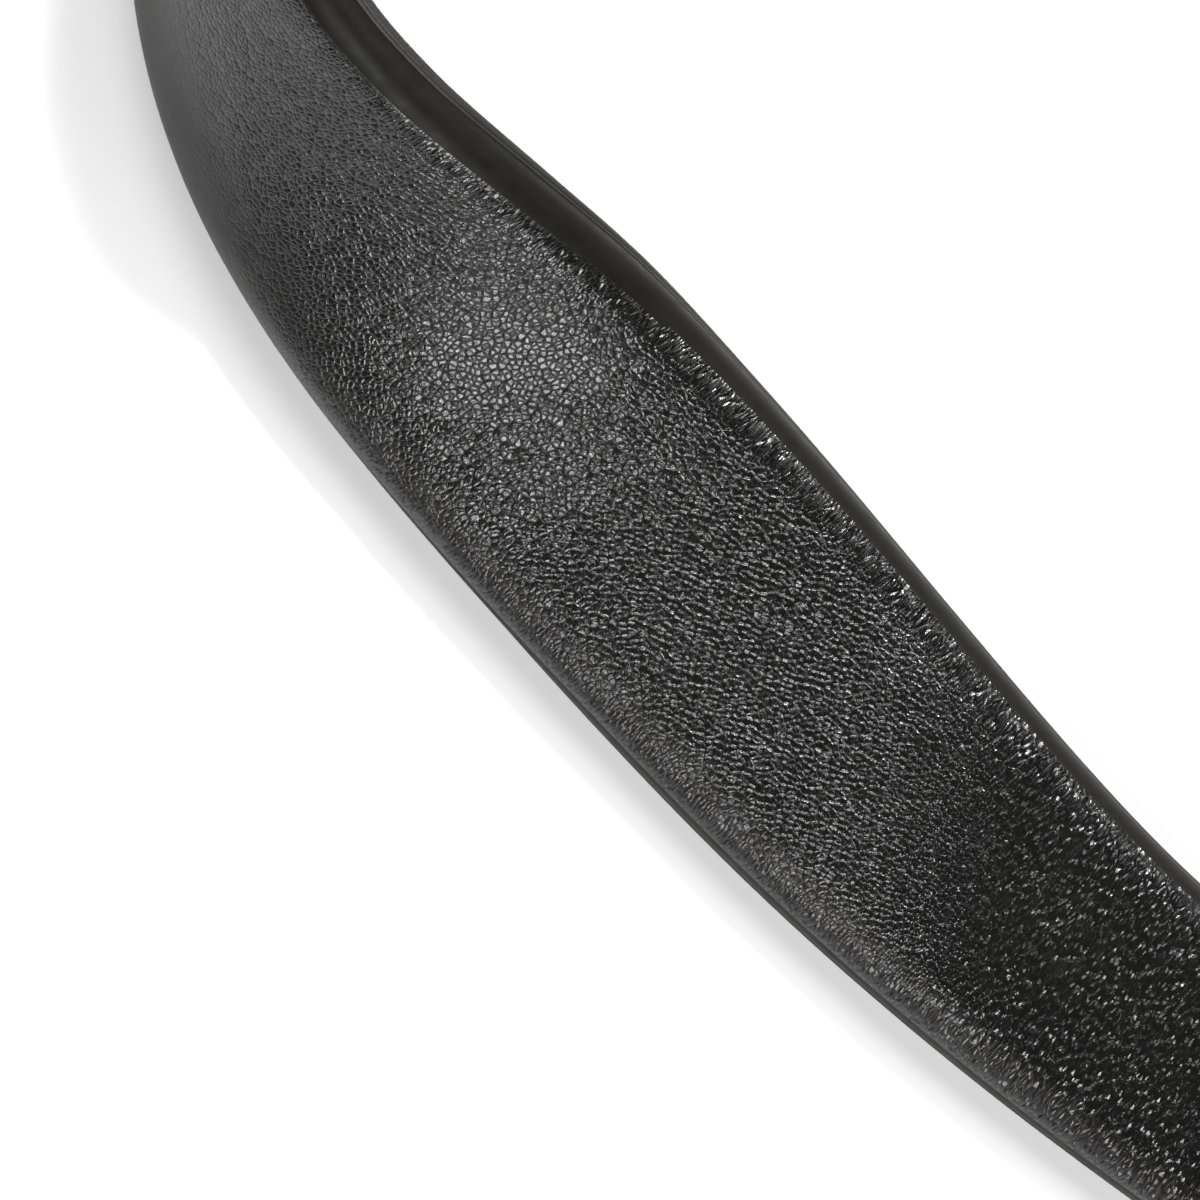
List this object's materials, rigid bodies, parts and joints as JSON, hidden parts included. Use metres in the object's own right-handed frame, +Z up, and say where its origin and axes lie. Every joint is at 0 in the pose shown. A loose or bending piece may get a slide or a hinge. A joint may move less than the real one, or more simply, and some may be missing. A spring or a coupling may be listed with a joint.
{
  "type": "saxophone neck strap",
  "caption": "Padded leather neck strap for a saxophone: neck band, side straps, sliding adjuster and a swivel hook with a sprung gate.",
  "frame": {"origin": "middle of the footprint on the table that the strap lies on", "axes": "+Z up, +Y towards the back of the neck, the hook towards -Y, X across the loop"},
  "size_m": [0.1994, 0.5233, 0.043],
  "materials": {
    "face_leather": "pebbled full-grain leather, semi-gloss",
    "lining_leather": "smooth matt lining leather",
    "foam_pad": "open-cell foam",
    "load_tape": "woven tape",
    "end_stiffener": "bonded leather fibre",
    "end_cap": "smooth leather",
    "side_strap": "smooth strap leather",
    "strap_keeper": "smooth leather",
    "rivet": "polished nickel",
    "slider_body": "moulded, satin",
    "slider_facing": "pebbled leather",
    "hook_frame": "polished nickel",
    "swivel_stud": "turned steel",
    "swivel_washer": "plain brass",
    "hook_body": "polished nickel",
    "hook_sleeve": "soft black sleeve",
    "hook_gate": "polished nickel",
    "spring_steel": "spring wire"
  },
  "bodies": {
    "neck_band": {"face_leather": "face_leather", "lining_leather": "lining_leather", "foam_pad": "foam_pad", "load_tape": "load_tape", "left_end_stiffener": "end_stiffener", "right_end_stiffener": "end_stiffener", "left_end_cap": "end_cap", "right_end_cap": "end_cap", "left_end_rivets": "rivet", "right_end_rivets": "rivet", "left_side_strap": "side_strap", "right_side_strap": "side_strap", "left_fold_rivet": "rivet", "right_fold_rivet": "rivet", "strap_keeper": "strap_keeper"},
    "slider": {"slider_body": "slider_body", "slider_facing": "slider_facing", "slider_rivets": "rivet"},
    "frame": {"hook_frame": "hook_frame"},
    "hook": {"swivel_stud": "swivel_stud", "swivel_washer": "swivel_washer", "hook_body": "hook_body", "hook_sleeve": "hook_sleeve", "gate_pin": "spring_steel", "gate_spring": "spring_steel"},
    "gate": {"hook_gate": "hook_gate"}
  },
  "joints": [
    {"name": "slider_slide", "type": "slide", "parent": "neck_band", "child": "slider", "axis": [0, -1, 0], "range_m": [0, 0.028]},
    {"name": "frame_tilt", "type": "hinge", "parent": "neck_band", "child": "frame", "pos_m": [0, -0.2003, 0.00615], "axis": [1, 0, 0], "range_deg": [-100, 100]},
    {"name": "hook_swivel", "type": "hinge", "parent": "frame", "child": "hook", "pos_m": [0, -0.2203, 0.00615], "axis": [0, 1, 0], "continuous": true},
    {"name": "gate_hinge", "type": "hinge", "parent": "hook", "child": "gate", "pos_m": [0.005, -0.2294, 0.00615], "axis": [0, 0, -1], "range_deg": [0, 30], "stiffness_Nm_per_rad": 0.004, "springref_deg": -20.05}
  ]
}
